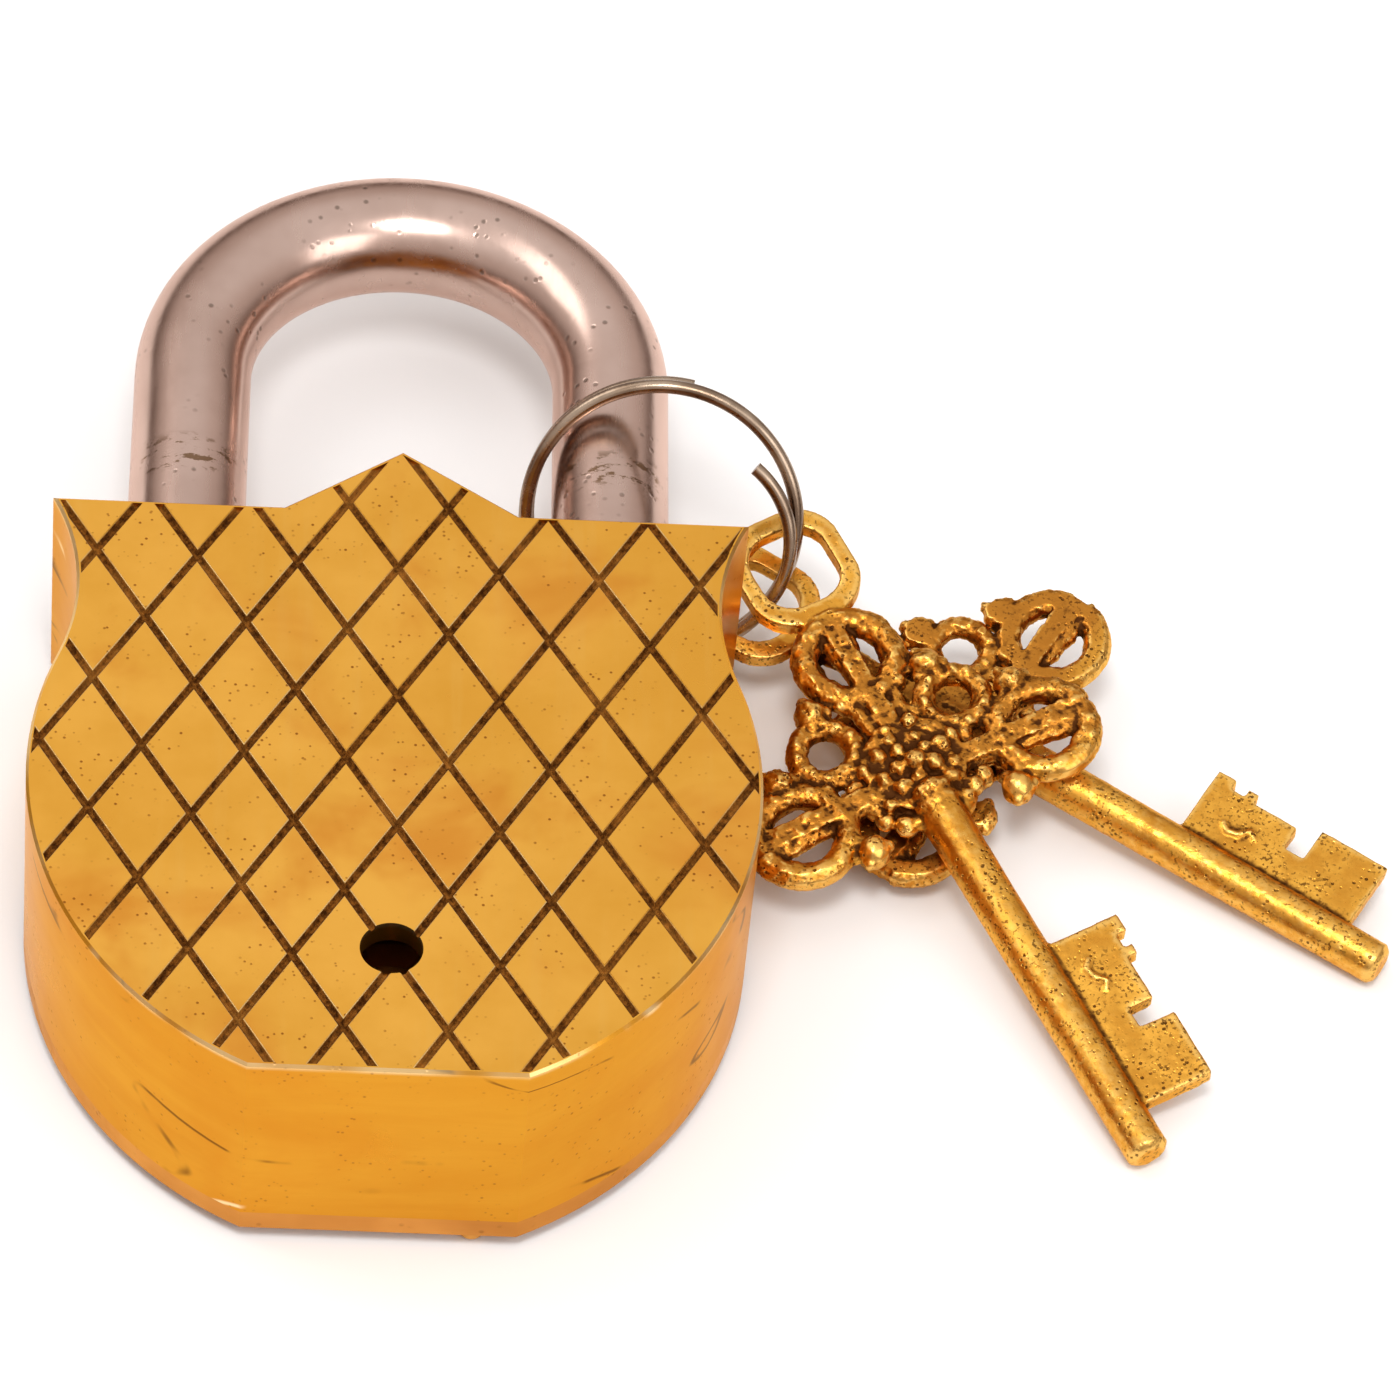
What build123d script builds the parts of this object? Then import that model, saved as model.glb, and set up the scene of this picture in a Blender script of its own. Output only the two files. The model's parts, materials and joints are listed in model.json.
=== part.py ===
"""Brass shield padlock with a steel shackle, a lever mechanism, a key ring and two keys.

The padlock lies on its keyhole side, with the crosshatched face up and the keys beside it.
It is drawn about its own centre line: X across, Y from the foot towards the shackle, and
Z up from the outer face of the keyhole plate. Each finished piece is then moved to the
origin of the whole layout, which is at the middle of its footprint on the ground.
"""

import math
import os

from build123d import *

# Layout: where the lock's own frame stands in the frame of the whole object.
layout_shift = (-33.933, -65.825, 1.6)

# Body outline, in millimetres.
body_half_width = 37.5
belly_y = 38.0
foot_half = 14.0
cusp = (34.9, 52.5)
scallop = (33.4, 62.5)
shoulder = (36.3, 73.5)
peak_half = 12.2
peak_y = 81.8

# Body thickness: cover plate, chamber and front wall.
body_t = 27.2
plate_t = 2.8
front_wall = 2.8
ceiling = body_t - front_wall

# Crosshatch on the front face.
groove_start = (-31.5, 66.5)
groove_rise = (5.09, 8.47)
groove_fall = (5.33, -8.76)
groove_half_width = 0.47
groove_depth = 0.5

# Key axis, guide hole and keyhole.
key_y = 15.4
guide_r = 3.2
keyhole_r = 3.0
keyhole_slot_half = 1.25

# Shackle.
bar_r = 6.25
leg_x = 22.5
leg_z = 13.6
leg_top = 102.9
heel_end = 19.0
toe_end = 45.0
bore_r = 6.4
heel_bore_end = 18.0
toe_bore_end = 44.2
lift = 28.5

# Heel retaining pin and its flat groove.
heel_pin = (-16.1, 53.0)
heel_pin_r = 2.0

# Bolt and its throw.
throw = 3.6
bolt_z = 18.6
bolt_t = 5.5
stump = (-4.5, 38.0)
stump_half = (1.1, 1.3)
guide_pins = [(-5.5, 32.8), (7.5, 45.5)]
guide_pin_r = 1.5

# Levers: pivot, thickness, and for each its underside height, its rise at the stump and its belly.
lever_pivot_at = (23.0, 36.0)
lever_t = 2.2
lever_levels = [3.6, 6.4, 9.2]
lever_rises = [1.0, 0.85, 1.1]
lever_bellies = [26.6, 25.2, 24.9]
pivot_r = 2.0
spring_post_at = (11.5, 59.0)

# Plate rivets, keyhole cover.
rivets = [(0, 76.5), (-32.4, 46), (32.4, 46), (-26, 14.5), (26, 14.5)]
rivet_r = 1.5
rivet_head_r = 2.6
rivet_head_h = 1.6
cover_pivot = (0.0, 25.2)
cover_turn = 22.0

# Key ring: centre, axis, mean radius and wire.
ring_centre = (28.05, 86.55, 12.76)
ring_axis = (-0.1286, -0.808, 0.575)
ring_r = 14.5
ring_wire_r = 0.75
ring_pitch = 1.75
ring_start = 85.0
ring_turns = 1.70

# Keys: where each tip lies, the way to its loop on the ring, and its roll.
key_1_tip = (79.0, 12.9, 0.8)
key_1_loop = (42.15, 81.5, 11.3)
key_1_roll = 7.0
key_2_tip = (104.3, 38.9, 0.8)
key_2_loop = (38.2, 80.3, 6.4)
key_2_roll = 8.0

os.makedirs("parts", exist_ok=True)


def write(piece, name):
    """Moves a finished piece into the frame of the whole object and writes it."""
    placed = piece.moved(Location(layout_shift))
    placed.label = name
    export_step(placed, f"parts/{name}.step")


# The shield outline shared by the case, the plate and the reach of the grooves.
with BuildSketch() as shield:
    with BuildLine():
        Line((-foot_half, 0), (foot_half, 0))
        ThreePointArc((foot_half, 0), (body_half_width, belly_y), cusp)
        ThreePointArc(cusp, scallop, shoulder)
        Polyline(
            shoulder,
            (peak_half, shoulder[1]),
            (0, peak_y),
            (-peak_half, shoulder[1]),
            (-shoulder[0], shoulder[1]),
        )
        ThreePointArc((-shoulder[0], shoulder[1]), (-scallop[0], scallop[1]), (-cusp[0], cusp[1]))
        ThreePointArc((-cusp[0], cusp[1]), (-body_half_width, belly_y), (-foot_half, 0))
    make_face()

# The hand-cut crosshatch: two families of tapered grooves that end just short of the edge.
with BuildPart() as grooves:
    for step, way, numbers in (
        (groove_rise, groove_fall, range(-2, 7)),
        (groove_fall, groove_rise, range(0, 9)),
    ):
        for number in numbers:
            x = groove_start[0] + step[0] * number
            y = groove_start[1] + step[1] * number
            along = (way[0], way[1], 0)
            across = (-way[1], way[0], 0)
            with BuildSketch(Plane(origin=(x, y, body_t), x_dir=across, z_dir=along)):
                Polygon(
                    (-groove_half_width - 0.1, 0.1),
                    (groove_half_width + 0.1, 0.1),
                    (0.14, -groove_depth),
                    (-0.14, -groove_depth),
                    align=None,
                )
            extrude(amount=130, both=True)
    with BuildSketch(Plane.XY.offset(body_t - 2)):
        add(shield.sketch)
        offset(amount=-0.45)
    extrude(amount=4, mode=Mode.INTERSECT)

# Cast brass case: shield block with the lever chamber, both shackle bores and the crosshatch.
with BuildPart() as lock_case:
    with BuildSketch(Plane.XY.offset(plate_t)):
        add(shield.sketch)
    extrude(amount=body_t - plate_t)
    chamfer(lock_case.faces().sort_by(Axis.Z)[-1].edges(), 0.3)
    with BuildSketch(Plane.XY.offset(plate_t)):
        with BuildLine():
            Polyline(
                (-12, 2.6),
                (12, 2.6),
                (14.5, 6),
                (14.5, 29),
                (27.5, 29),
                (27.5, 42),
                (14.5, 42),
                (14.5, 62),
                (-14.5, 62),
                (-14.5, 6),
                close=True,
            )
        make_face()
    extrude(amount=ceiling - plate_t, mode=Mode.SUBTRACT)
    for bore_x, bore_end in ((-leg_x, heel_bore_end), (leg_x, toe_bore_end)):
        depth = peak_y - bore_end
        with Locations(Location((bore_x, bore_end + depth / 2, leg_z), (90, 0, 0))):
            Cylinder(bore_r, depth, mode=Mode.SUBTRACT)
    # Window that lets the bolt head into the toe bore.
    with Locations((17, 53, 14.6)):
        Box(6, 8, 6.2, mode=Mode.SUBTRACT)
    # Blind hole for the heel retaining pin.
    with BuildSketch(Plane.XY.offset(plate_t)):
        with Locations(heel_pin):
            Circle(heel_pin_r + 0.02)
    extrude(amount=ceiling + 1.4 - plate_t, mode=Mode.SUBTRACT)
    # Rivet holes and the guide hole for the tip of the key.
    with BuildSketch(Plane.XY.offset(plate_t)):
        with Locations(rivets):
            Circle(rivet_r + 0.02)
    extrude(amount=13.2, mode=Mode.SUBTRACT)
    with BuildSketch(Plane.XY.offset(ceiling - 1)):
        with Locations((0, key_y)):
            Circle(guide_r)
    extrude(amount=front_wall + 2, mode=Mode.SUBTRACT)
    add(grooves.part, mode=Mode.SUBTRACT)
write(lock_case.part, "lock_case")

# Keyhole plate: closes the chamber from behind, with a round keyhole and a slot for the bit.
with BuildPart() as face_plate:
    with BuildSketch():
        add(shield.sketch)
        with Locations((0, key_y)):
            Circle(keyhole_r, mode=Mode.SUBTRACT)
        with Locations((0, key_y - 6.4)):
            Rectangle(2 * keyhole_slot_half, 12.8, mode=Mode.SUBTRACT)
        with Locations(rivets):
            Circle(rivet_r + 0.02, mode=Mode.SUBTRACT)
        with Locations(cover_pivot):
            Circle(1.22, mode=Mode.SUBTRACT)
    extrude(amount=plate_t)
    chamfer(face_plate.faces().sort_by(Axis.Z)[0].outer_wire().edges(), 0.3)
write(face_plate.part, "face_plate")

# Dome-headed rivets that hold the plate. The lock rests on their heads.
with BuildPart() as plate_rivets:
    with BuildSketch(Plane.XY):
        with Locations(rivets):
            Circle(rivet_r)
    extrude(amount=plate_t + 13)
    with BuildSketch(Plane.XY):
        with Locations(rivets):
            Circle(rivet_head_r)
    extrude(amount=-rivet_head_h)
    chamfer(plate_rivets.faces().filter_by(Axis.Z).group_by(Axis.Z)[0].edges(), 0.8)
write(plate_rivets.part, "plate_rivets")

# Drop-shaped keyhole cover, swung to one side on its rivet.
cover_way = (math.sin(math.radians(cover_turn)), -math.cos(math.radians(cover_turn)), 0)
with BuildPart() as keyhole_cover:
    with BuildSketch(Plane(origin=(*cover_pivot, -1.3), x_dir=cover_way, z_dir=(0, 0, 1))):
        Circle(4.2)
        with Locations((11.5, 0)):
            Circle(6.4)
        with Locations((25.3, 0)):
            Circle(1.3)
        make_hull()
        Circle(1.25, mode=Mode.SUBTRACT)
    extrude(amount=1.05)
    chamfer(keyhole_cover.faces().sort_by(Axis.Z)[0].outer_wire().edges(), 0.35)
write(keyhole_cover.part, "keyhole_cover")

with BuildPart() as cover_rivet:
    with BuildSketch(Plane.XY.offset(-1.5)):
        with Locations(cover_pivot):
            Circle(1.2)
    extrude(amount=1.5 + plate_t)
    with BuildSketch(Plane.XY.offset(-rivet_head_h)):
        with Locations(cover_pivot):
            Circle(2.6)
    extrude(amount=0.25)
write(cover_rivet.part, "cover_rivet")

with BuildPart() as cover_washer:
    with BuildSketch(Plane.XY.offset(-0.22)):
        with Locations(cover_pivot):
            Circle(3.2)
            Circle(1.25, mode=Mode.SUBTRACT)
    extrude(amount=0.22)
write(cover_washer.part, "cover_washer")

# Steel shackle: long captive heel leg with a flat groove, short toe leg with the bolt's notch.
with BuildPart() as shackle:
    with BuildLine():
        Line((leg_x, toe_end, leg_z), (leg_x, leg_top, leg_z))
        ThreePointArc((leg_x, leg_top, leg_z), (0, leg_top + leg_x, leg_z), (-leg_x, leg_top, leg_z))
        Line((-leg_x, leg_top, leg_z), (-leg_x, heel_end, leg_z))
    with BuildSketch(Plane(origin=(leg_x, toe_end, leg_z), x_dir=(1, 0, 0), z_dir=(0, 1, 0))):
        Circle(bar_r)
    sweep()
    chamfer(shackle.faces().filter_by(Axis.Y).edges(), 1.0)
    with Locations((17.0, 53.1, leg_z)):
        Box(5.5, 8.4, 14, mode=Mode.SUBTRACT)
    with Locations((-16.15, 38.8, leg_z)):
        Box(4.3, 33.6, 14, mode=Mode.SUBTRACT)
write(shackle.part, "shackle")

with BuildPart() as heel_retaining_pin:
    with BuildSketch(Plane.XY.offset(plate_t + 0.05)):
        with Locations(heel_pin):
            Circle(heel_pin_r)
    extrude(amount=ceiling + 1.3 - plate_t)
write(heel_retaining_pin.part, "heel_retaining_pin")

# Dead bolt: plate with the talon that the key throws, a head for the shackle and the stump.
with BuildPart() as bolt:
    with BuildSketch(Plane.XY.offset(bolt_z)):
        with BuildLine():
            Polyline(
                (-12.5, 25.5),
                (-4.2, 25.5),
                (-3.2, 29.2),
                (3.2, 29.2),
                (4.2, 25.5),
                (10.5, 25.5),
                (10.5, 56.6),
                (-1, 56.6),
                (-1, 41),
                (-12.5, 41),
                close=True,
            )
        make_face()
        with Locations([(x - throw / 2, y) for x, y in guide_pins]):
            SlotCenterToCenter(throw + 0.3, 2 * guide_pin_r + 0.2, mode=Mode.SUBTRACT)
    extrude(amount=bolt_t)
    with Locations((6, 53, 15.2)):
        Box(9, 7.2, 6.8)
    with Locations((12.1, 53, 14.6)):
        Box(7.6, 7.2, 5.6)
    with Locations((stump[0], stump[1], 11.3)):
        Box(2 * stump_half[0], 2 * stump_half[1], 15.4)
write(bolt.part, "bolt")

# Shouldered pins that the bolt slides on.
with BuildPart() as bolt_guides:
    with BuildSketch(Plane.XY.offset(17.3)):
        with Locations(guide_pins):
            Circle(guide_pin_r)
    extrude(amount=ceiling - 17.3)
    with BuildSketch(Plane.XY.offset(17.3)):
        with Locations(guide_pins):
            Circle(2.8)
    extrude(amount=1.0)
write(bolt_guides.part, "bolt_guides")


def lever(level, rise, belly):
    """A lever plate with its pivot hole and the H-shaped gate that the stump passes through."""
    gate_top = stump[1] + stump_half[1] - 0.056 * rise + 0.15
    gate_bottom = stump[1] - stump_half[1] - 0.944 * rise - 0.15
    with BuildPart() as plate:
        with BuildSketch(Plane.XY.offset(level)):
            with BuildLine():
                Polyline(
                    (-10, 30),
                    (-7, belly),
                    (7, belly),
                    (10, 31.5),
                    (23, 32),
                    (23, 40),
                    (5, 42),
                    (3, 43.2),
                    (-10, 43.2),
                    close=True,
                )
            make_face()
            with Locations(lever_pivot_at):
                Circle(4.0)
                Circle(pivot_r + 0.05, mode=Mode.SUBTRACT)
            with Locations((-4.55, 37.5)):
                Rectangle(2.7, 7, mode=Mode.SUBTRACT)
            with Locations((-0.85, 37.5)):
                Rectangle(2.7, 7, mode=Mode.SUBTRACT)
            with Locations((-2.7, (gate_top + gate_bottom) / 2)):
                Rectangle(1.4, gate_top - gate_bottom, mode=Mode.SUBTRACT)
        extrude(amount=lever_t)
    return plate.part


def lever_spring(level):
    """A leaf spring that is hooked round its post and bears on the top edge of a lever."""
    with BuildPart() as leaf:
        with BuildSketch(Plane.XY.offset(level + 0.2)):
            with Locations(spring_post_at):
                Circle(2.6)
            with BuildLine():
                ThreePointArc((10.0, 61.2), (-2.5, 54.5), (-8.5, 43.75))
            trace(line_width=0.5)
            with Locations(spring_post_at):
                Circle(2.1, mode=Mode.SUBTRACT)
        extrude(amount=1.8)
    return leaf.part


for number in range(3):
    lever_part = lever(lever_levels[number], lever_rises[number], lever_bellies[number])
    write(lever_part, f"lever_{number + 1}")
    write(lever_spring(lever_levels[number]), f"lever_spring_{number + 1}")

with BuildPart() as spring_post:
    with BuildSketch(Plane.XY.offset(plate_t + 0.05)):
        with Locations(spring_post_at):
            Circle(2.0)
    extrude(amount=ceiling - plate_t - 0.05)
write(spring_post.part, "spring_post")

# Shouldered pin that carries the levers.
with BuildPart() as lever_pivot:
    with BuildSketch(Plane.XY.offset(plate_t + 0.05)):
        with Locations(lever_pivot_at):
            Circle(pivot_r)
    extrude(amount=ceiling - plate_t - 0.05)
    with BuildSketch(Plane.XY.offset(12.0)):
        with Locations(lever_pivot_at):
            Circle(3.2)
    extrude(amount=ceiling - 12.0)
write(lever_pivot.part, "lever_pivot")

with BuildPart() as lever_washers:
    for underside in (2.95, 5.85, 8.65, 11.45):
        with BuildSketch(Plane.XY.offset(underside)):
            with Locations(lever_pivot_at):
                Circle(3.6)
                Circle(pivot_r + 0.05, mode=Mode.SUBTRACT)
        extrude(amount=0.5)
write(lever_washers.part, "lever_washers")

# Ward plate on four posts: it fills the slot of the bit as the key turns.
with BuildPart() as ward_plate:
    with BuildSketch(Plane.XY.offset(14.2)):
        with Locations((0, 14.4)):
            RectangleRounded(27.4, 21.6, 3)
        with Locations((0, key_y)):
            Circle(6.9, mode=Mode.SUBTRACT)
    extrude(amount=1.2)
    with BuildSketch(Plane.XY.offset(14.2)):
        with Locations((-11.2, 5.4), (11.2, 5.4), (-12.1, 23.4), (12.1, 23.4)):
            Circle(1.4)
    extrude(amount=ceiling - 14.2)
write(ward_plate.part, "ward_plate")

# Split ring: wire wound nearly two turns, with its front end sprung inwards.
helix_end = math.radians(360 * (ring_turns % 1))
free_end = helix_end + math.radians(62)
with BuildPart() as key_ring:
    with BuildLine() as wire:
        coil = Helix(ring_pitch, ring_pitch * ring_turns, ring_r)
        TangentArc(
            coil @ 1,
            (11.9 * math.cos(free_end), 11.9 * math.sin(free_end), ring_pitch * ring_turns + 0.2),
            tangent=coil % 1,
        )
    with BuildSketch(Plane(origin=coil @ 0, z_dir=coil % 0)):
        Circle(ring_wire_r)
    sweep()
ring_right = Vector(-ring_axis[1], ring_axis[0], 0).normalized()
ring_up = Vector(*ring_axis).cross(ring_right)
start = math.radians(ring_start)
ring_x = ring_right * math.cos(start) + ring_up * math.sin(start)
ring_base = Vector(*ring_centre) - Vector(*ring_axis) * (ring_pitch * ring_turns / 2)
ring_place = Plane(origin=ring_base, x_dir=ring_x, z_dir=ring_axis)
write(key_ring.part.moved(ring_place.location), "key_ring")

# One key pattern, tip at the origin and bow along +X, with the bit on the -Y side.
with BuildPart() as key:
    with BuildSketch():
        with BuildLine():
            Polyline((0, 0), (0, 1.7), (0.6, 2.3), (43, 2.5), (48, 2.9), (50, 0), close=True)
        make_face()
    revolve(axis=Axis.X)
    with BuildSketch(Plane.XY.offset(-1)):
        with BuildLine():
            Polyline(
                (5.2, 0),
                (5.2, -10.2),
                (13.2, -10.2),
                (13.2, -6.1),
                (15.6, -6.1),
                (15.6, -9.0),
                (21, -9.0),
                (21, -10.1),
                (22.2, -10.1),
                (22.2, -9.2),
                (23.8, -9.2),
                (23.8, -10.4),
                (26, -10.4),
                (26, 0),
                close=True,
            )
        make_face()
    extrude(amount=2)
    # Flat web of the bow: boss and a radial bar through each lobe, then the plain hanging loop.
    with BuildSketch(Plane.XY.offset(-1.3)):
        with Locations((51.2, 0)):
            Circle(5.6)
        with Locations((49.9, 11.4), (49.9, -11.4)):
            Rectangle(2.2, 14)
        with Locations((63.7, 0)):
            Rectangle(16, 2.2)
    extrude(amount=2.6)
    with BuildSketch(Plane.XY.offset(-1)):
        with Locations((78.2, 0)):
            RectangleRounded(13.6, 12.6, 4.8)
            RectangleRounded(9.4, 8.8, 3.4, mode=Mode.SUBTRACT)
    extrude(amount=2)
    # Round-edged lobes, the two smaller pierced circles and the beads where the scrolls meet.
    with Locations((65.7, 0), (49.2, 14.3), (49.2, -14.3)):
        Torus(4.75, 1.45)
    with Locations((56.7, 7.6), (56.7, -7.6)):
        Torus(3.1, 1.2)
    with Locations((44.1, 8.6), (44.1, -8.6), (55.6, 13.9), (55.6, -13.9), (61.5, 6.9), (61.5, -6.9)):
        Sphere(1.75)


def place_key(tip, loop, roll):
    """The plane on which a key lies: from its tip to its loop, rolled with its bit side up."""
    way = (Vector(*loop) - Vector(*tip)).normalized()
    side = Vector(0, 0, 1).cross(way).normalized()
    upright = way.cross(side)
    turn = math.radians(roll)
    return Plane(origin=tip, x_dir=way, z_dir=upright * math.cos(turn) + side * math.sin(turn))


write(key.part.moved(place_key(key_1_tip, key_1_loop, key_1_roll).location), "key_1")
write(key.part.moved(place_key(key_2_tip, key_2_loop, key_2_roll).location), "key_2")
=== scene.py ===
"""Looks of the brass padlock: materials, ornate keys, floor, soft light and camera."""

import json
import math
import random

import bmesh
import bpy
import numpy as np
from mathutils import Matrix, Vector, noise


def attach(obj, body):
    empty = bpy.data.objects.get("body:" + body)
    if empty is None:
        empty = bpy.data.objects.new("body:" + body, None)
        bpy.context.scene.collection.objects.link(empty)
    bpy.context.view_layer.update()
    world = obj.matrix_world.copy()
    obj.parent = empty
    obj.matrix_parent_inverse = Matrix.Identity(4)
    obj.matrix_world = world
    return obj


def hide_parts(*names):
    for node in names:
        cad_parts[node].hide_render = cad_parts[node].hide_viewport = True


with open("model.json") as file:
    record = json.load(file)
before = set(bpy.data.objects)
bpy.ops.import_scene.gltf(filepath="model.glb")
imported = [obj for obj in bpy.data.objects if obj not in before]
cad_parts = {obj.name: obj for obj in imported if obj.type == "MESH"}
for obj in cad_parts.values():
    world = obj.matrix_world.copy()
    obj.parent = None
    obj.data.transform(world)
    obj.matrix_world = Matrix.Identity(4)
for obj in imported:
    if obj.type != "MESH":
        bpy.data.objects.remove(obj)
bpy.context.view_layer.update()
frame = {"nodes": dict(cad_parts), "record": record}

MM = 0.001
# What brass and steel reflect at a glancing angle.
BRASS_EDGE = (1.0, 0.80, 0.56)
STEEL_EDGE = (1.0, 0.86, 0.80)
# Where the lock's own frame stands in the frame of the whole object, in millimetres.
LAYOUT_SHIFT = Vector((-33.933, -65.825, 1.6))
FACE_Z = 28.8 * MM


# ---------------------------------------------------------------- material helpers
class Nodes:
    """A short way to write a node tree."""

    def __init__(self, name):
        self.material = bpy.data.materials.new(name)
        self.material.use_nodes = True
        self.tree = self.material.node_tree
        self.tree.nodes.clear()
        self.out = self.tree.nodes.new("ShaderNodeOutputMaterial")
        self.shader = self.tree.nodes.new("ShaderNodeBsdfPrincipled")
        self.link(self.shader.outputs[0], self.out.inputs["Surface"])
        geometry = self.tree.nodes.new("ShaderNodeNewGeometry")
        self.position = geometry.outputs["Position"]
        self.true_normal = geometry.outputs["True Normal"]
        coordinates = self.tree.nodes.new("ShaderNodeTexCoord")
        self.object = coordinates.outputs["Object"]

    def link(self, a, b):
        self.tree.links.new(a, b)

    def put(self, socket, value):
        if isinstance(value, bpy.types.NodeSocket):
            self.link(value, socket)
        else:
            socket.default_value = value

    def math(self, operation, a, b):
        node = self.tree.nodes.new("ShaderNodeMath")
        node.operation = operation
        self.put(node.inputs[0], a)
        self.put(node.inputs[1], b)
        return node.outputs[0]

    def ramp(self, value, low, high, out_low=0.0, out_high=1.0):
        node = self.tree.nodes.new("ShaderNodeMapRange")
        node.interpolation_type = "SMOOTHSTEP"
        self.put(node.inputs["Value"], value)
        for name, number in (
            ("From Min", low),
            ("From Max", high),
            ("To Min", out_low),
            ("To Max", out_high),
        ):
            node.inputs[name].default_value = number
        return node.outputs["Result"]

    def scaled(self, stretch):
        node = self.tree.nodes.new("ShaderNodeVectorMath")
        node.operation = "MULTIPLY"
        self.link(self.object, node.inputs[0])
        node.inputs[1].default_value = stretch
        return node.outputs[0]

    def noise(self, scale, detail=4.0, rough=0.55, stretch=None, distortion=0.0):
        node = self.tree.nodes.new("ShaderNodeTexNoise")
        node.inputs["Scale"].default_value = scale
        node.inputs["Detail"].default_value = detail
        node.inputs["Roughness"].default_value = rough
        node.inputs["Distortion"].default_value = distortion
        self.link(self.scaled(stretch) if stretch else self.object, node.inputs["Vector"])
        return node.outputs["Fac"]

    def cells(self, scale):
        node = self.tree.nodes.new("ShaderNodeTexVoronoi")
        node.inputs["Scale"].default_value = scale
        self.link(self.object, node.inputs["Vector"])
        return node.outputs["Distance"]

    def band(self, value, start, full, fade, end):
        """1 between full and fade, 0 outside start and end."""
        rise = self.ramp(value, start, full)
        return self.math("MULTIPLY", rise, self.ramp(value, fade, end, 1.0, 0.0))

    def both(self, a, b):
        return self.math("MULTIPLY", a, b)

    def mix(self, factor, a, b):
        node = self.tree.nodes.new("ShaderNodeMix")
        node.data_type = "RGBA"
        self.put(node.inputs["Factor"], factor)
        for socket, value in ((node.inputs[6], a), (node.inputs[7], b)):
            self.put(socket, value if isinstance(value, bpy.types.NodeSocket) else (*value, 1.0))
        return node.outputs[2]

    def attribute(self, name):
        node = self.tree.nodes.new("ShaderNodeAttribute")
        node.attribute_name = name
        return node.outputs["Fac"]

    def axis(self, vector, index):
        node = self.tree.nodes.new("ShaderNodeSeparateXYZ")
        self.link(vector, node.inputs[0])
        return node.outputs[index]

    def bump(self, height, distance, strength, after=None):
        node = self.tree.nodes.new("ShaderNodeBump")
        node.inputs["Strength"].default_value = strength
        node.inputs["Distance"].default_value = distance
        self.link(height, node.inputs["Height"])
        if after is not None:
            self.link(after, node.inputs["Normal"])
        return node.outputs["Normal"]

    def finish(self, color, roughness, normal=None, metallic=1.0, edge=(1.0, 1.0, 1.0)):
        self.shader.inputs["Specular Tint"].default_value = (*edge, 1.0)
        self.put(
            self.shader.inputs["Base Color"],
            color if isinstance(color, bpy.types.NodeSocket) else (*color, 1.0),
        )
        self.put(self.shader.inputs["Roughness"], roughness)
        self.put(self.shader.inputs["Metallic"], metallic)
        if normal is not None:
            self.link(normal, self.shader.inputs["Normal"])
        return self.material


def pits_of(n, scale, low, high):
    """1 in scattered small pits, 0 elsewhere."""
    holes = n.ramp(n.cells(scale), low, high, 1.0, 0.0)
    patches = n.ramp(n.noise(scale * 0.18, 3.0), 0.46, 0.62)
    return n.both(holes, patches)


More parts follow.
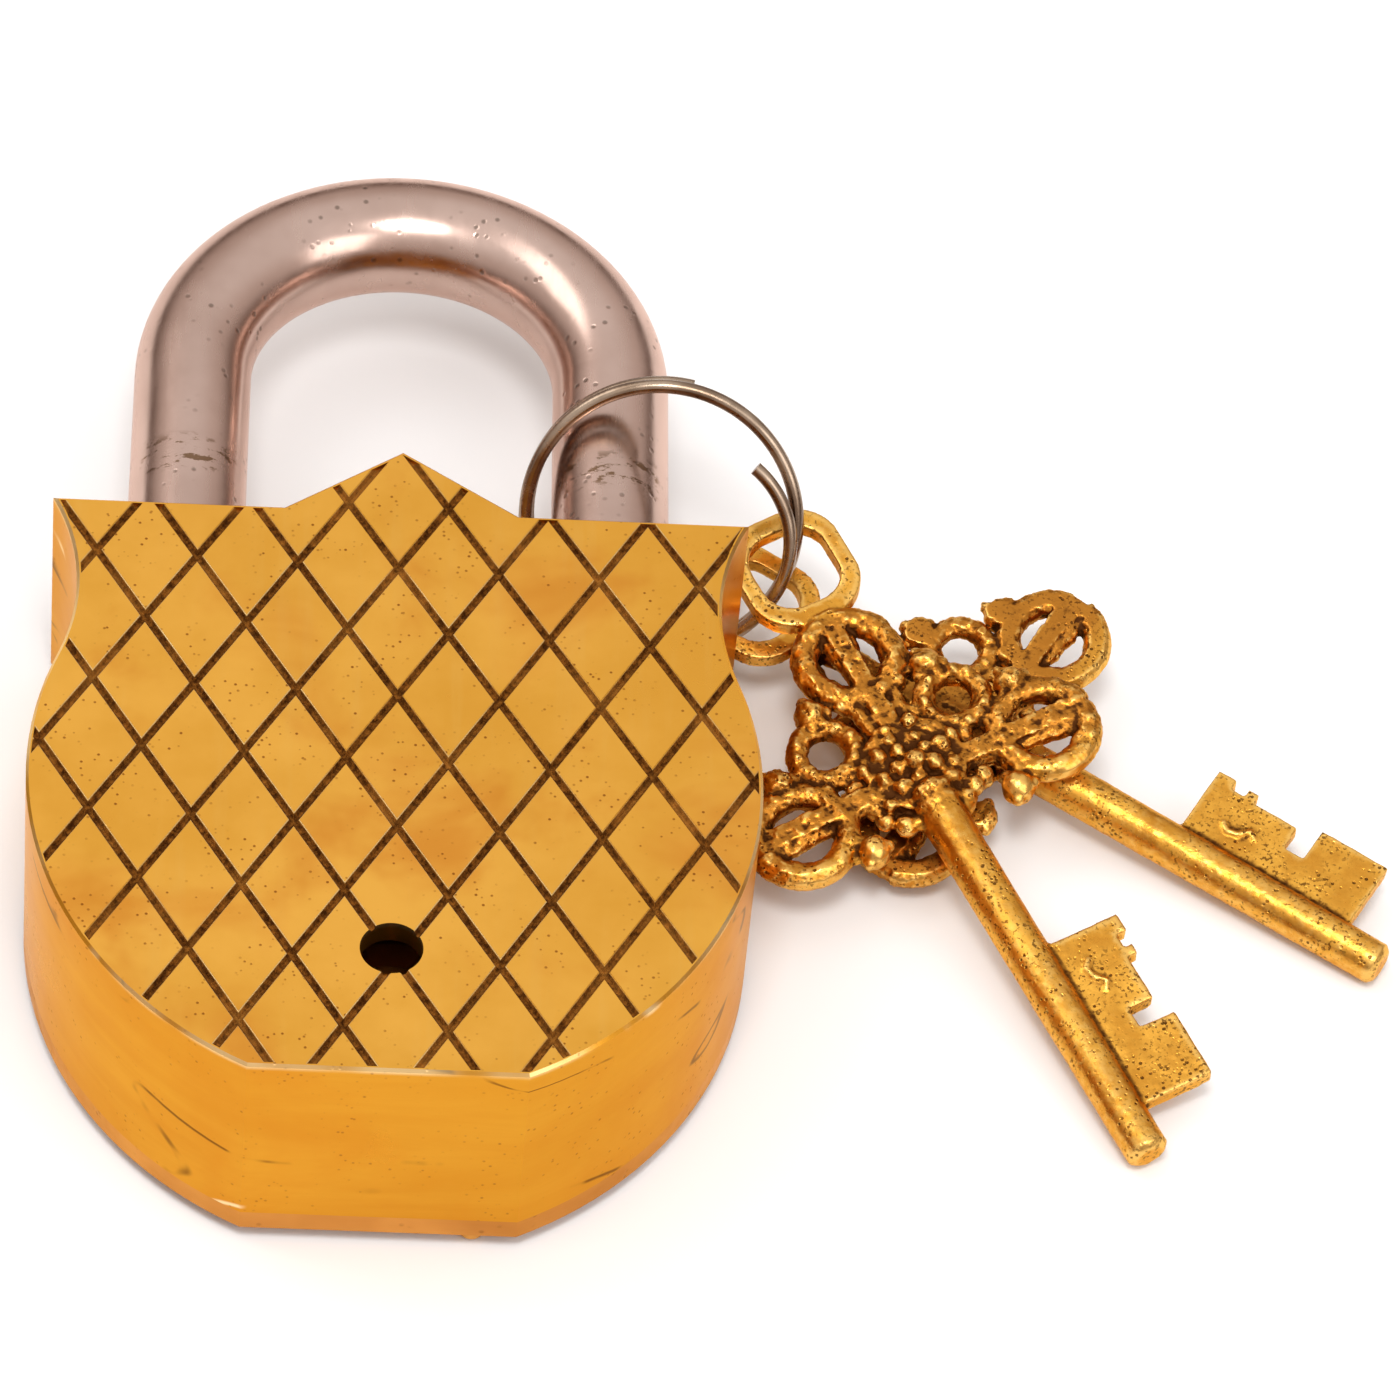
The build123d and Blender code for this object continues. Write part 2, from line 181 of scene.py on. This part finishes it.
def brass_case_material():
    """Cast brass: buffed face, darker filed walls, rough dark cuts of the crosshatch."""
    n = Nodes("cast_brass")
    up = n.axis(n.true_normal, 2)
    depth = n.math("SUBTRACT", FACE_Z, n.axis(n.position, 2))
    # The cuts are known by their slope and their depth under the face.
    below = n.band(depth, 0.00002, 0.00012, 0.0006, 0.0008)
    flanks = n.band(up, 0.46, 0.52, 0.63, 0.67)
    floors = n.both(n.ramp(up, 0.9, 0.95), n.ramp(depth, 0.0003, 0.0004))
    cut = n.both(below, n.math("MAXIMUM", flanks, floors))
    facing = n.both(n.ramp(up, 0.9, 0.97), n.ramp(depth, 0.0002, 0.0003, 1.0, 0.0))

    streaks = n.noise(60, 6.0, 0.6, stretch=(6.0, 0.5, 1.0))
    clouds = n.noise(45, 5.0, 0.6)
    blotches = n.noise(50, 4.0, 0.55, distortion=0.4)
    face = n.mix(n.ramp(clouds, 0.3, 0.7), (0.79, 0.375, 0.046), (0.88, 0.455, 0.074))
    face = n.mix(n.ramp(streaks, 0.5, 0.75, 0.0, 0.30), face, (0.84, 0.47, 0.10))
    face = n.mix(n.ramp(blotches, 0.5, 0.72, 0.0, 0.7), face, (0.68, 0.24, 0.026))
    pits = pits_of(n, 1100, 0.10, 0.24)
    face = n.mix(n.both(pits, 0.9), face, (0.26, 0.085, 0.012))

    wall_streaks = n.noise(30, 5.0, 0.65, stretch=(0.8, 0.8, 6.0), distortion=0.6)
    lines = n.noise(16, 2.0, 0.5, stretch=(1.0, 1.0, 3.2), distortion=0.8)
    hairs = n.both(
        n.band(lines, 0.488, 0.496, 0.498, 0.506), n.ramp(n.noise(70, 3.0, 0.6), 0.5, 0.58)
    )
    # Painted glints: short bright dashes along some of the wall lines.
    glint_dashes = n.both(
        n.band(lines, 0.555, 0.566, 0.57, 0.581), n.ramp(n.noise(55, 3.0, 0.6), 0.54, 0.62)
    )
    wall = n.mix(n.ramp(wall_streaks, 0.25, 0.8), (0.64, 0.275, 0.022), (0.70, 0.335, 0.032))
    wall = n.mix(n.ramp(blotches, 0.42, 0.68, 0.0, 0.6), wall, (0.62, 0.235, 0.018))
    wall = n.mix(n.both(hairs, 0.85), wall, (0.14, 0.045, 0.010))
    # The painted glints are laid on the walls here.
    wall = n.mix(n.both(glint_dashes, 0.9), wall, (0.97, 0.78, 0.45))
    wall = n.mix(n.both(pits, 0.5), wall, (0.26, 0.085, 0.015))

    grit = n.noise(1600, 5.0, 0.7)
    groove = n.mix(n.ramp(grit, 0.35, 0.7), (0.085, 0.027, 0.006), (0.36, 0.14, 0.022))
    worn_cut = n.ramp(n.noise(130, 5.0, 0.65), 0.48, 0.68, 0.0, 0.5)
    groove = n.mix(worn_cut, groove, (0.52, 0.24, 0.045))
    # Painted highlight: a bright band along the upper edges of the cuts.
    lip_highlight = n.ramp(depth, 0.00008, 0.00017, 1.0, 0.0)
    groove = n.mix(n.both(lip_highlight, 0.45), groove, (0.95, 0.60, 0.18))
    # A painted highlight: a bright line, broken up by noise, where the walls meet the face.
    rim = n.both(n.ramp(depth, 0.0002, 0.0009, 1.0, 0.0), n.ramp(n.noise(35, 3.0), 0.42, 0.56))
    wall = n.mix(n.both(rim, 0.65), wall, (0.97, 0.76, 0.40))
    color = n.mix(facing, wall, face)
    color = n.mix(cut, color, groove)

    rough = n.math("ADD", n.ramp(clouds, 0.3, 0.7, 0.27, 0.36), n.both(cut, 0.4))
    rough = n.math("ADD", rough, n.both(pits, 0.15))
    height = n.math("SUBTRACT", n.both(streaks, 0.15), pits)
    normal = n.bump(height, 0.00004, 0.4)
    normal = n.bump(n.both(grit, cut), 0.0003, 0.9, after=normal)
    normal = n.bump(n.noise(60, 3.0, 0.5), 0.0005, 0.22, after=normal)
    return n.finish(color, rough, normal, edge=BRASS_EDGE)


def plate_material(name, light, dark):
    """Filed brass plate or part with directional file marks."""
    n = Nodes(name)
    marks = n.noise(90, 5.0, 0.65, stretch=(1.0, 5.0, 5.0))
    clouds = n.noise(40, 4.0)
    pits = pits_of(n, 800, 0.12, 0.3)
    color = n.mix(n.ramp(clouds, 0.3, 0.7), dark, light)
    color = n.mix(n.both(pits, 0.6), color, (0.25, 0.09, 0.02))
    normal = n.bump(n.math("SUBTRACT", marks, pits), 0.00008, 0.5)
    return n.finish(color, n.ramp(marks, 0.3, 0.7, 0.28, 0.42), normal, edge=BRASS_EDGE)


def steel_material(name, light, dark, rough, worn_from=None):
    """Polished steel with faint lengthwise streaks, small dents and worn patches."""
    n = Nodes(name)
    streaks = n.noise(110, 6.0, 0.6, stretch=(4.0, 0.6, 4.0))
    clouds = n.noise(30, 5.0, 0.6)
    pits = pits_of(n, 700, 0.1, 0.28)
    color = n.mix(n.ramp(clouds, 0.32, 0.68), dark, light)
    color = n.mix(n.ramp(streaks, 0.55, 0.75, 0.0, 0.25), color, light)
    color = n.mix(n.both(pits, 0.6), color, (0.10, 0.07, 0.05))
    if worn_from is not None:
        # Brown scuffs on the upper side of both legs, just above the case.
        place = n.band(
            n.axis(n.object, 1), worn_from, worn_from + 0.0015, worn_from + 0.004, worn_from + 0.006
        )
        place = n.both(place, n.ramp(n.axis(n.object, 2), 0.0185, 0.0195))
        scuffs = n.ramp(n.noise(420, 5.0, 0.7, stretch=(0.7, 1.6, 1.0)), 0.53, 0.58)
        color = n.mix(n.both(n.both(place, scuffs), 0.85), color, (0.17, 0.085, 0.03))
    normal = n.bump(n.math("SUBTRACT", n.both(streaks, 0.3), pits), 0.00006, 0.5)
    normal = n.bump(n.noise(45, 2.0, 0.5), 0.0006, 0.14, after=normal)
    return n.finish(color, n.ramp(streaks, 0.3, 0.75, *rough), normal, edge=STEEL_EDGE)


def key_material():
    """Aged cast brass: bright worn high spots, and dark patina with painted shade in the hollows.
    """
    n = Nodes("aged_cast_brass")
    cavity = n.attribute("cavity")
    clouds = n.noise(160, 6.0, 0.65)
    grain = n.noise(900, 5.0, 0.7)
    # This level, built from cavity, grain and bow, drives both the worn high spots and the painted
    # shade in the hollows.
    worn = n.math("ADD", cavity, n.both(n.math("SUBTRACT", grain, 0.5), 0.35))
    bow = n.attribute("bow")
    worn = n.math("ADD", worn, n.both(bow, 0.13))
    patina_and_shade = n.ramp(worn, 0.56, 0.84)
    high = n.ramp(worn, 0.22, 0.44, 1.0, 0.0)
    color = n.mix(n.ramp(clouds, 0.3, 0.7), (0.64, 0.27, 0.030), (0.86, 0.44, 0.064))
    color = n.mix(n.both(bow, 0.8), color, (0.44, 0.155, 0.020))
    color = n.mix(n.both(high, 0.7), color, (0.92, 0.56, 0.15))
    # Patina with painted shade: the hollows are painted near black.
    color = n.mix(patina_and_shade, color, (0.085, 0.028, 0.007))
    pits = pits_of(n, 1500, 0.16, 0.34)
    color = n.mix(n.both(pits, 0.85), color, (0.07, 0.025, 0.008))
    specks = n.both(n.ramp(n.noise(2400, 3.0, 0.6), 0.56, 0.61), n.ramp(clouds, 0.40, 0.58))
    color = n.mix(n.both(specks, 0.8), color, (0.10, 0.032, 0.007))
    rough = n.math("ADD", n.ramp(clouds, 0.3, 0.7, 0.26, 0.38), n.both(patina_and_shade, 0.35))
    normal = n.bump(n.math("SUBTRACT", n.both(grain, 0.5), pits), 0.00012, 0.8)
    return n.finish(color, rough, normal, edge=BRASS_EDGE)


def wire_material():
    """Dull bronze-toned wire of the split ring."""
    n = Nodes("ring_wire")
    streaks = n.noise(300, 5.0, 0.6)
    clouds = n.noise(90, 4.0)
    color = n.mix(n.ramp(clouds, 0.35, 0.65), (0.20, 0.13, 0.085), (0.46, 0.35, 0.26))
    normal = n.bump(streaks, 0.00005, 0.4)
    return n.finish(color, n.ramp(streaks, 0.3, 0.7, 0.2, 0.34), normal)


materials = {
    "brass_case": brass_case_material(),
    "brass_plate": plate_material("filed_brass_plate", (0.74, 0.35, 0.085), (0.52, 0.21, 0.045)),
    "brass_cover": plate_material("brass_cover", (0.80, 0.42, 0.11), (0.58, 0.25, 0.05)),
    "brass_mechanism": plate_material("mechanism_brass", (0.78, 0.50, 0.18), (0.60, 0.34, 0.10)),
    "rivet_steel": steel_material(
        "rivet_steel", (0.60, 0.57, 0.53), (0.36, 0.33, 0.30), (0.3, 0.45)
    ),
    # The shackle's pinkish tint is painted reflection laid over the steel's own grey: it stands in
    # for warm surroundings seen in the metal.
    "shackle_steel": steel_material(
        "polished_steel", (0.64, 0.465, 0.395), (0.50, 0.345, 0.285), (0.2, 0.3), worn_from=0.0185
    ),
    "mechanism_steel": steel_material(
        "turned_steel", (0.62, 0.61, 0.60), (0.42, 0.41, 0.40), (0.25, 0.4)
    ),
    "spring_steel": steel_material(
        "blued_steel", (0.16, 0.18, 0.26), (0.08, 0.09, 0.14), (0.25, 0.4)
    ),
    "ring_wire": wire_material(),
    "key_brass": key_material(),
}
slot_of = {s["node"]: s["material_slot"] for s in frame["record"]["subparts"]}
for node, piece in frame["nodes"].items():
    piece.data.materials.clear()
    piece.data.materials.append(materials[slot_of[node]])


# ---------------------------------------------------------------- the cast keys
def key_place(tip, loop, roll):
    """The matrix that carries a key from its own frame, in millimetres, to where it lies."""
    tip, loop = Vector(tip), Vector(loop)
    way = (loop - tip).normalized()
    side = Vector((0, 0, 1)).cross(way).normalized()
    upright = way.cross(side)
    turn = math.radians(roll)
    z_way = upright * math.cos(turn) + side * math.sin(turn)
    y_way = z_way.cross(way)
    base = (tip + LAYOUT_SHIFT) * MM
    return Matrix(
        [
            [way[i] * MM, y_way[i] * MM, z_way[i] * MM, base[i]]
            for i in range(3)
        ]
        + [[0, 0, 0, 1]]
    )


# The tip, the loop and the roll of each key, in the lock's own frame.
KEYS = {
    "key_1": key_place((79.0, 12.9, 0.8), (42.15, 81.5, 11.3), 7.0),
    "key_2": key_place((104.3, 38.9, 0.8), (38.2, 80.3, 6.4), 8.0),
}
# In a key's own frame, X runs from the tip to the loop.
BOSS_X = 51.2
BOW_FROM, BOW_TO = 43, 72
# The middle of each lobe of the bow, and the way that it points.
LOBES = ((65.7, 0.0, 0.0), (49.2, 14.3, 90.0), (49.2, -14.3, -90.0))
# Half of the bow's valleys; the other half mirrors them.
VALLEYS = ((44.1, 8.6), (55.6, 13.9), (61.5, 6.9))
PIERCED_CIRCLE = (56.7, 7.6)
SQUIGGLE = ((22.6, -5.2), (21.6, -4.3), (20.4, -4.6), (19.4, -5.6), (18.6, -5.0))
SQUIGGLE_HEIGHTS = (0.95, 1.0, 1.0, 1.0, 0.95)
SQUIGGLE_RADII = (0.3, 0.42, 0.4, 0.42, 0.3)


def polar(radius, degrees):
    """A point at this distance and angle from the origin, in the key's plane."""
    angle = math.radians(degrees)
    return Vector((radius * math.cos(angle), radius * math.sin(angle), 0))


def add_tube(bm, points, radii, flat=1.0, rounds=10):
    """A tapered tube along points, flattened in Z, with closed ends."""
    rings = []
    count = len(points)
    for i, (point, radius) in enumerate(zip(points, radii)):
        before, after = Vector(points[max(0, i - 1)]), Vector(points[min(count - 1, i + 1)])
        along = (after - before).normalized()
        side = Vector((0, 0, 1)).cross(along)
        side = side.normalized() if side.length > 1e-6 else Vector((1, 0, 0))
        up = along.cross(side)
        rings.append(
            [
                bm.verts.new(
                    Vector(point)
                    + side * radius * math.cos(2 * math.pi * k / rounds)
                    + up * radius * flat * math.sin(2 * math.pi * k / rounds)
                )
                for k in range(rounds)
            ]
        )
    for a, b in zip(rings, rings[1:]):
        for k in range(rounds):
            bm.faces.new((a[k], a[(k + 1) % rounds], b[(k + 1) % rounds], b[k]))
    bm.faces.new(list(reversed(rings[0])))
    bm.faces.new(rings[-1])


def add_ball(bm, centre, radius):
    """A small rounded bead."""
    bmesh.ops.create_icosphere(bm, subdivisions=2, radius=radius, matrix=Matrix.Translation(centre))


def curl(centre, radius, start, sweep, end_radius, steps=16):
    """Points of a flat spiral, from radius to end_radius."""
    points = []
    for i in range(steps + 1):
        t = i / steps
        angle = math.radians(start + sweep * t)
        r = radius + (end_radius - radius) * t
        points.append((centre[0] + r * math.cos(angle), centre[1] + r * math.sin(angle), 0.0))
    return points


def lobe_ornaments(bm, x, y, way):
    """The broad bar, thick rim, root curls and stalks of one lobe."""
    ahead, across = polar(1, way), polar(1, way + 90)
    middle = Vector((x, y, 0))
    start, end = middle - ahead * 5.5, middle + ahead * 5.4
    points = [start.lerp(end, t) for t in (0, 0.25, 0.5, 0.75, 1.0)]
    add_tube(bm, points, [1.0, 1.35, 1.7, 2.0, 2.2], flat=0.62)
    for hand in (-1, 1):
        rim = [middle + polar(4.9, way + hand * t) for t in range(10, 131, 12)]
        add_tube(bm, rim, [1.6 - 0.03 * i for i in range(len(rim))])
        root = middle - ahead * 4.6 + across * hand * 3.4
        spiral = curl(root, 1.7, way + hand * 70, hand * -300, 0.4)
        add_tube(bm, spiral, [0.75 - 0.02 * i for i in range(len(spiral))])
        add_ball(bm, root + Vector((0, 0, 0.5)), 0.85)
    reach = 8.0 if way == 0 else 7.6
    for hand in (-1, 1):
        start = Vector((BOSS_X, 0, 0.2)) + across * hand * 1.6 + ahead * 3.0
        end = start + across * hand + ahead * reach
        add_tube(bm, [start.lerp(end, t / 4) for t in range(5)], [1.15, 1.0, 0.9, 0.85, 0.8])


def ornaments(bm, seed):
    """Scrolls, bars, beads and bosses of the bow, in the key's own frame in millimetres."""
    chance = random.Random(seed)
    for lobe in LOBES:
        lobe_ornaments(bm, *lobe)
    # Pierced circles between the lobes, with a raised rim of small grains.
    circle_x, circle_y = PIERCED_CIRCLE
    for sign in (-1, 1):
        for k in range(14):
            at = Vector((circle_x, sign * circle_y, 0.75)) + polar(3.2, 360 * k / 14)
            add_ball(bm, at, 0.62 + 0.12 * chance.random())
    # Paired beads and scroll ends in the valleys.
    for x, y in VALLEYS:
        for sign in (-1, 1):
            add_ball(bm, (x, sign * y, 0.3), 1.85)
            for k in range(3):
                turn = 360 * (k / 3 + chance.random() * 0.1)
                add_ball(bm, Vector((x, sign * y, 0.5)) + polar(1.6, turn), 0.75)
    # The lumpy cast mass of the boss: grains of mixed size heaped over the middle on both faces.
    for k in range(26):
        turn = 360 * (k + 0.6 * chance.random()) / 26
        at = Vector((BOSS_X, 0, 0)) + polar(6.4 + 0.9 * chance.random(), turn)
        at.z = 0.3 * (chance.random() - 0.5)
        add_ball(bm, at, 0.8 + 0.5 * chance.random())
    for face in (-1, 1):
        for ring_r, number, size in ((0.0, 1, 1.3), (1.9, 5, 1.2), (3.6, 9, 1.05), (5.2, 12, 0.9)):
            for k in range(number):
                turn = 360 * (k + 0.5 * chance.random()) / number
                r = ring_r * (0.85 + 0.3 * chance.random())
                at = Vector((BOSS_X, 0, 0)) + polar(r, turn)
                at.z = face * (1.55 - 0.14 * ring_r) * (0.9 + 0.2 * chance.random())
                add_ball(bm, at, size * (0.65 + 0.6 * chance.random()))
    # Collar rings where the shank starts.
    for x, r in ((45.9, 2.175), (47.3, 2.3625)):
        for t in range(24):
            flat = polar(r, 15 * t)
            add_ball(bm, (x, flat.x, flat.y), 0.75)
    # The small raised squiggle on each flat of the bit.
    for face in (-1, 1):
        line = [(x, y, face * z) for (x, y), z in zip(SQUIGGLE, SQUIGGLE_HEIGHTS)]
        add_tube(bm, line, SQUIGGLE_RADII, rounds=8)


def vertex_array(mesh, name):
    """The vertices' places or normals, one row each."""
    values = np.zeros(len(mesh.vertices) * 3)
    mesh.vertices.foreach_get(name, values)
    return values.reshape(-1, 3)


def cavity_of(mesh, rounds):
    """How far each vertex lies under the smoothed surface: above 0 in hollows, below on ridges."""
    count = len(mesh.vertices)
    co, no = vertex_array(mesh, "co"), vertex_array(mesh, "normal")
    edges = np.zeros(len(mesh.edges) * 2, np.int64)
    mesh.edges.foreach_get("vertices", edges)
    a, b = edges.reshape(-1, 2).T
    degree = np.bincount(a, minlength=count) + np.bincount(b, minlength=count)
    smooth = co.copy()
    for _ in range(rounds):
        total = np.zeros_like(smooth)
        for axis in range(3):
            total[:, axis] = np.bincount(a, smooth[b, axis], count)
            total[:, axis] += np.bincount(b, smooth[a, axis], count)
        smooth = 0.4 * smooth + 0.6 * total / np.maximum(degree, 1)[:, None]
    return ((smooth - co) * no).sum(1)


def key_mesh(name, seed, inner_side):
    """The detailed key, as one cast skin, in the key's own frame in millimetres."""
    bm = bmesh.new()
    bm.from_mesh(frame["nodes"][name].data)
    bmesh.ops.transform(bm, matrix=KEYS[name].inverted(), verts=bm.verts)
    ornaments(bm, seed)
    mesh = bpy.data.meshes.new(name + "_cast")
    bm.to_mesh(mesh)
    bm.free()
    piece = bpy.data.objects.new(name + "_cast", mesh)
    bpy.context.scene.collection.objects.link(piece)
    remesh = piece.modifiers.new("skin", "REMESH")
    remesh.mode = "VOXEL"
    remesh.voxel_size = 0.2
    smooth = piece.modifiers.new("soften", "SMOOTH")
    smooth.iterations = 2
    smooth.factor = 0.5
    graph = bpy.context.evaluated_depsgraph_get()
    made = bpy.data.meshes.new_from_object(piece.evaluated_get(graph))
    piece.modifiers.clear()
    piece.data = made
    co, no = vertex_array(made, "co"), vertex_array(made, "normal")
    # Cast waviness: strong on the bow, faint on the shank, the bit and the filed loop.
    bow = np.clip((co[:, 0] - BOW_FROM) / 4, 0, 1) * np.clip((BOW_TO - co[:, 0]) / 2, 0, 1)
    amount = 0.04 + 0.17 * bow
    start = Vector((seed, 0, 0))
    wave = np.array([noise.fractal(Vector(p) * 0.8 + start, 0.8, 2.1, 4) for p in co])
    co += no * (wave * amount)[:, None]
    # The side that lies against the other key is rubbed almost flat.
    proud = np.maximum(co[:, 2] * inner_side - 1.25, 0)
    proud *= np.clip((co[:, 0] - BOW_FROM + 1) / 2, 0, 1)
    co[:, 2] -= inner_side * proud * 0.9
    made.vertices.foreach_set("co", co.ravel())
    made.update()
    cavity = cavity_of(made, 14) + cavity_of(made, 50) * 0.6
    level = 0.5 + 0.5 * np.tanh(cavity / 0.28)
    for title, values in (("cavity", level), ("bow", bow)):
        layer = made.attributes.new(title, "FLOAT", "POINT")
        layer.data.foreach_set("value", values.astype(np.float32))
    made.transform(KEYS[name])
    made.polygons.foreach_set("use_smooth", [True] * len(made.polygons))
    made.materials.clear()
    made.materials.append(materials["key_brass"])
    return piece


for key_name, seed, inner_side in (("key_1", 11, -1), ("key_2", 17, 1)):
    cast = key_mesh(key_name, seed, inner_side)
    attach(cast, key_name)
    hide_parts(key_name)


# ---------------------------------------------------------------- floor, light, camera
floor_mesh = bpy.data.meshes.new("floor")
FLOOR_HALF = 3.0
corners = [(x * FLOOR_HALF, y * FLOOR_HALF, 0) for x, y in ((-1, -1), (1, -1), (1, 1), (-1, 1))]
floor_mesh.from_pydata(corners, [], [(0, 1, 2, 3)])
floor = bpy.data.objects.new("floor", floor_mesh)
bpy.context.scene.collection.objects.link(floor)
floor_nodes = Nodes("pale_floor")
floor.data.materials.append(floor_nodes.finish((0.93, 0.93, 0.93), 0.8, metallic=0.0))

world = bpy.data.worlds.new("studio")
bpy.context.scene.world = world
world.use_nodes = True
tree = world.node_tree
tree.nodes.clear()
output = tree.nodes.new("ShaderNodeOutputWorld")
background = tree.nodes.new("ShaderNodeBackground")
coordinates = tree.nodes.new("ShaderNodeTexCoord")
separate = tree.nodes.new("ShaderNodeSeparateXYZ")
shade = tree.nodes.new("ShaderNodeValToRGB")
tree.links.new(coordinates.outputs["Generated"], separate.inputs[0])
tree.links.new(separate.outputs["Z"], shade.inputs["Fac"])
tree.links.new(shade.outputs["Color"], background.inputs["Color"])
tree.links.new(background.outputs[0], output.inputs["Surface"])
shade.color_ramp.interpolation = "EASE"
shade.color_ramp.elements[0].position = 0.03
shade.color_ramp.elements[0].color = (0.13, 0.08, 0.06, 1)
shade.color_ramp.elements[1].position = 0.85
shade.color_ramp.elements[1].color = (1.0, 0.99, 0.98, 1)
middle = shade.color_ramp.elements.new(0.45)
middle.color = (0.72, 0.64, 0.60, 1)
background.inputs["Strength"].default_value = 0.95


def soft_light(name, place, size, power, color=(1, 1, 1)):
    """A square area light that looks at the object."""
    lamp = bpy.data.lights.new(name, "AREA")
    lamp.size = size
    lamp.energy = power
    lamp.color = color
    holder = bpy.data.objects.new(name, lamp)
    bpy.context.scene.collection.objects.link(holder)
    holder.location = place
    holder.rotation_euler = (-Vector(place)).to_track_quat("-Z", "Y").to_euler()


soft_light("key_light", (-0.05, -0.33, 0.93), 0.26, 3.6)
soft_light("side_light", (-0.55, 0.3, 0.75), 0.5, 1.6)
soft_light("fill_light", (0.6, -0.6, 0.7), 0.6, 2.4)

# The camera looks from the foot of the lock, 50 degrees above the ground.
ELEVATION, AZIMUTH, TILT = 0.870430, -0.0853208, 0.1058584
TARGET = (Vector((32.135, 62.135, 12.0)) + LAYOUT_SHIFT) * MM
DISTANCE = 0.90004
back = Vector(
    (
        math.sin(AZIMUTH) * math.cos(ELEVATION),
        -math.cos(AZIMUTH) * math.cos(ELEVATION),
        math.sin(ELEVATION),
    )
)
right = (-back).cross(Vector((0, 0, 1))).normalized()
up = right.cross(-back)
camera_x = right * math.cos(TILT) + up * math.sin(TILT)
camera_y = -right * math.sin(TILT) + up * math.cos(TILT)
place = TARGET + back * DISTANCE
camera_data = bpy.data.cameras.new("camera")
camera_data.lens = 220.4
camera_data.sensor_width = 36.0
camera = bpy.data.objects.new("camera", camera_data)
bpy.context.scene.collection.objects.link(camera)
camera.matrix_world = Matrix(
    [[camera_x[i], camera_y[i], back[i], place[i]] for i in range(3)] + [[0, 0, 0, 1]]
)
bpy.context.scene.camera = camera

bpy.context.scene.view_settings.view_transform = "Standard"
bpy.context.scene.view_settings.exposure = 0.0
